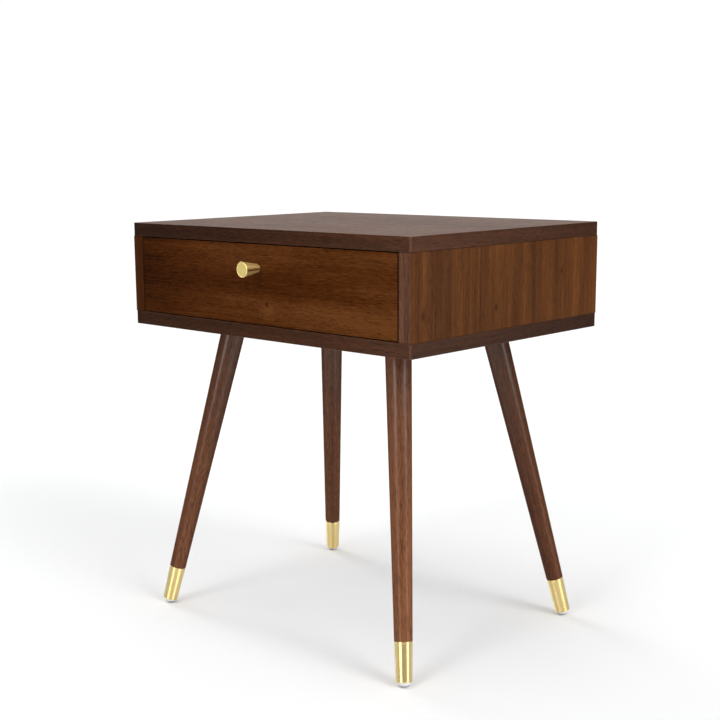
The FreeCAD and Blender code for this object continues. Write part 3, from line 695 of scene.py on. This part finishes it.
def drawn_ferrule(corner):
    """A tapered brass cup with a crisp lip and a fine groove at the top, and a rolled-over foot."""
    foot, up = leg_axis(corner)
    low, high = span_on(f"{corner}_ferrule", foot, up)
    outline = [
        (0, low + 0.35 * MM, 0),
        (8.7 * MM, low, 0.5 * MM),
        (10.1 * MM, low, 1.1 * MM),                 # the rolled foot
        (11.438 * MM, high - 2.2 * MM, 0.05 * MM),
        (11.30 * MM, high - 2.0 * MM, 0.05 * MM),   # the groove
        (11.449 * MM, high - 1.8 * MM, 0.05 * MM),
        (11.5 * MM, high, 0.25 * MM),               # the lip
        (10.75 * MM, high, 0.15 * MM),
        (10.7 * MM, high - 1.0 * MM, 0),
        (0, high - 1.0 * MM, 0),
    ]
    piece = lathe(f"{corner}_drawn_ferrule", rounded(outline, 8), foot, up)
    return dress(piece, f"{corner}_ferrule", "brass")


def moulded_glide(corner):
    """A plastic button under the ferrule: an arc of a ball from its tip out to a short straight rim.

    At each angle from the tip the arc is radius times sine outwards, and radius less radius times
    cosine upwards.
    """
    foot, up = leg_axis(corner)
    low, high = span_on(f"{corner}_glide", foot, up)
    low += 0.1 * MM                       # keeps the tilted ball just clear of the floor
    rim = high - 1.5 * MM
    reach, rise = 8.7 * MM, rim - low
    ball = (reach ** 2 + rise ** 2) / (2 * rise)
    angle = np.linspace(0, math.asin(reach / ball), 14)
    dome = np.stack([ball * np.sin(angle), low + ball * (1 - np.cos(angle))], axis=1)
    round_dome = np.stack([np.sin(angle), -np.cos(angle)], axis=1)
    rest, flat = rounded([(reach, rim, 0), (reach, high, 0.2 * MM), (0, high, 0)])
    outline = np.concatenate([dome, rest]), np.concatenate([round_dome, flat])
    return dress(lathe(f"{corner}_moulded_glide", outline, foot, up), f"{corner}_glide", "glide_plastic")


def turned_knob():
    """A cone on a short narrow neck, with a bevelled rim round its sunk face."""
    low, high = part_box("knob")
    length = high.y - low.y
    outline = [
        (0, 0, 0),
        (4.4 * MM, 0, 0),
        (4.4 * MM, 1.8 * MM, 0.2 * MM),             # the neck
        (5.8 * MM, 1.8 * MM, 0.5 * MM),
        (10.0 * MM, length - 0.4 * MM, 0.5 * MM),   # the wide end of the cone
        (9.3 * MM, length, 0.35 * MM),
        (8.6 * MM, length, 0.3 * MM),
        (8.1 * MM, length - 0.5 * MM, 0.4 * MM),    # the sunk face
        (0, length - 0.5 * MM, 0),
    ]
    foot = ((low.x + high.x) / 2, high.y, (low.z + high.z) / 2)
    piece = lathe("turned_knob", rounded(outline, 8), foot, (0, -1, 0))
    lacquer = satin_brass("knob_brass", groove=0.00003, polish=0.17, glow=0.46)
    return dress(piece, "knob", "brass", lacquer)


def rolled_member(side, hand):
    """The middle slide member: one strip rolled into a channel, with rounded bends and inturned lips.

    hand is 1 where the channel's back is at high X and -1 where it is at low X. The outline is the
    upper half and its mirror image about the middle height.
    """
    low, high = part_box(f"{side}_slide_middle_member")
    back, lip_x = (high.x, low.x) if hand > 0 else (low.x, high.x)
    inwards = -hand
    sheet, lip, bend = 1.2 * MM, 3.2 * MM, 1.6 * MM
    half = [
        (back, high.z, bend),
        (lip_x, high.z, bend),
        (lip_x, high.z - lip, 0.3 * MM),
        (lip_x - inwards * sheet, high.z - lip, 0.3 * MM),
        (lip_x - inwards * sheet, high.z - sheet, bend - sheet),
        (back + inwards * sheet, high.z - sheet, bend - sheet),
    ]
    middle, start = (low.z + high.z) / 2, 5 * MM
    mirrored = [(x, 2 * middle - z, radius) for x, z, radius in reversed(half)]
    outline = [(back, middle + start, 0), *half, *mirrored, (back, middle - start, 0)]
    if hand < 0:
        outline = outline[::-1]
    piece = strip_steel(f"{side}_rolled_slide_member", rounded(outline), low.y, high.y)
    return dress(piece, f"{side}_slide_middle_member", "zinc_plated_steel")


def dress(piece, node, slot, finish=None):
    """Lets a piece stand for a CAD node: same body, the node's own slot, and that slot's finish."""
    body = frame["nodes"][node]["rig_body"]
    piece.data.materials.append(finish or FINISHES[slot])
    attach(piece, body)
    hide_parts(node)
    return piece


# ---- finishes on the CAD's own pieces, and the pieces made here -----------------------
SLOT_OF = {part["node"]: part["material_slot"] for part in frame["record"]["subparts"]}
FINISHES = {
    "leg_wood": leg_wood(),
    "brass": satin_brass("satin_brass", groove=0.00002, polish=0.17),
    "glide_plastic": milky_plastic(),
    "zinc_plated_steel": zinc_steel(),
    "screw_steel": screw_steel(),
    "black_steel": black_steel(),
    "bumper_plastic": black_plastic(),
}
slab = slab_veneer()
side = side_veneer()
front = front_veneer()
box_long = plain_wood("drawer_side_wood", "y", PALE)
box_wide = plain_wood("drawer_end_wood", "x", PALE)
kraft = plain_wood("back_panel_wood", "x", KRAFT, 0.62, 0.25, 0.1)
dowel = plain_wood("dowel_wood", "x", PALE)
NODE_FINISH = {
    "top_board": slab, "bottom_board": slab,
    "left_side_board": side, "right_side_board": side,
    "drawer_front": front,
    "back_board": kraft, "drawer_bottom": kraft,
    "drawer_left_side": box_long, "drawer_right_side": box_long,
    "drawer_sub_front": box_wide, "drawer_back": box_wide,
    "case_dowels": dowel, "drawer_dowels": dowel,
}
for node, held in frame["nodes"].items():
    finish = NODE_FINISH.get(node) or FINISHES[SLOT_OF[node]]
    for place in held.material_slots:
        place.material = finish

LEG_SHADES = (0.02, 0.30, 0.06, -0.06)    # how pale each leg is, in the order of CORNERS: the wood's own tone, with painted light added on the front right leg
for number, (corner, shade) in enumerate(zip(CORNERS, LEG_SHADES)):
    turned_leg(corner, number, shade)
    drawn_ferrule(corner)
    moulded_glide(corner)
for side_name, hand in zip(SIDES, (-1, 1)):
    rolled_member(side_name, hand)
turned_knob()


# ---- studio -------------------------------------------------------------------------
def studio_world():
    """White behind the object for the camera, and a soft dome that brightens upwards for its light."""
    world = bpy.data.worlds.new("studio")
    bpy.context.scene.world = world
    world.use_nodes = True
    dome = Nodes(world.node_tree)
    x, y, up = dome.split(dome.node("ShaderNodeTexCoord", output=0))
    glow = DOME_HORIZON + up.span(0.0, 0.9) * (DOME_ZENITH - DOME_HORIZON)
    level = x.math("SQRT", x * x + y * y)
    for azimuth, brightness in STRIPS:
        a = math.radians(azimuth)
        near = (x * math.sin(a) - y * math.cos(a)) / level
        edges = near.span(math.cos(math.radians(12)), math.cos(math.radians(8)))
        glow = glow + edges * (1.0 - up.span(0.70, 0.90)) * brightness
    room = dome.node("ShaderNodeBackground", None, {"Color": (1, 1, 1, 1), "Strength": glow})
    white = dome.node("ShaderNodeBackground", None, {"Color": (1, 1, 1, 1), "Strength": 1.02})
    seen = dome.node("ShaderNodeLightPath")
    both = dome.node("ShaderNodeMixShader", None, {0: seen, 1: room, 2: white})
    dome.finish_with("ShaderNodeOutputWorld", both)


def softbox(name, azimuth, elevation, spread, power):
    """A round soft light, so large and far away that it lights the whole floor evenly.

    Azimuth 0 is in front and 90 at the right; spread is how wide it looks, in degrees.
    """
    a, e = math.radians(azimuth), math.radians(elevation)
    way = Vector((math.sin(a) * math.cos(e), -math.cos(a) * math.cos(e), math.sin(e)))
    light = bpy.data.lights.new(name, "SUN")
    light.angle = math.radians(spread)
    light.energy = power
    lamp = bpy.data.objects.new(name, light)
    bpy.context.scene.collection.objects.link(lamp)
    lamp.location = Vector((0, 0, 0.3)) + way * 3
    lamp.rotation_mode = "QUATERNION"
    lamp.rotation_quaternion = way.to_track_quat("Z", "Y")


def studio_floor():
    """A large white floor. It glows a little for the camera, and bounces less light than it shows."""
    paint = Finish("studio_floor")
    cloud = paint.noise(paint.place(), 0.8, 2.0, 0.5)
    seen = paint.node("ShaderNodeLightPath")
    level = (FLOOR_PAINT + cloud * 0.01) * (FLOOR_BOUNCE + seen * (1.0 - FLOOR_BOUNCE))
    colour = paint.join(level * 0.994, level, level * 1.005)
    material = paint.done(Base_Color=colour, Roughness=1.0, Specular_IOR_Level=0.0,
                          Coat_Weight=1.0 - seen, Coat_IOR=2.2, Coat_Roughness=0.08,
                          Emission_Color=paint.join(seen, seen, seen), Emission_Strength=FLOOR_GLOW)
    reach = FLOOR_REACH
    corners = [(-reach, -reach, 0), (reach, -reach, 0), (reach, reach, 0), (-reach, reach, 0)]
    mesh = bpy.data.meshes.new("studio_floor")
    mesh.from_pydata(corners, [], [(0, 1, 2, 3)])
    mesh.materials.append(material)
    floor = bpy.data.objects.new("studio_floor", mesh)
    bpy.context.scene.collection.objects.link(floor)


def camera():
    """Seen from the front right and a little above."""
    data = bpy.data.cameras.new("camera")
    data.lens = CAMERA_LENS
    data.shift_x, data.shift_y = CAMERA_SHIFT
    eye = bpy.data.objects.new("camera", data)
    bpy.context.scene.collection.objects.link(eye)
    yaw, pitch, roll = (math.radians(angle) for angle in CAMERA_TURN)
    turn = Matrix.Rotation(yaw, 4, "Z") @ Matrix.Rotation(math.pi / 2 - pitch, 4, "X")
    eye.matrix_world = Matrix.Translation(CAMERA_SPOT) @ turn @ Matrix.Rotation(roll, 4, "Z")
    bpy.context.scene.camera = eye


studio_world()
studio_floor()
softbox("overhead_light", azimuth=-30, elevation=78, spread=30, power=0.40)
softbox("left_light", azimuth=-95, elevation=30, spread=22, power=0.60)
softbox("right_light", azimuth=84, elevation=30, spread=22, power=0.75)
camera()
bpy.context.scene.view_settings.view_transform = "Standard"
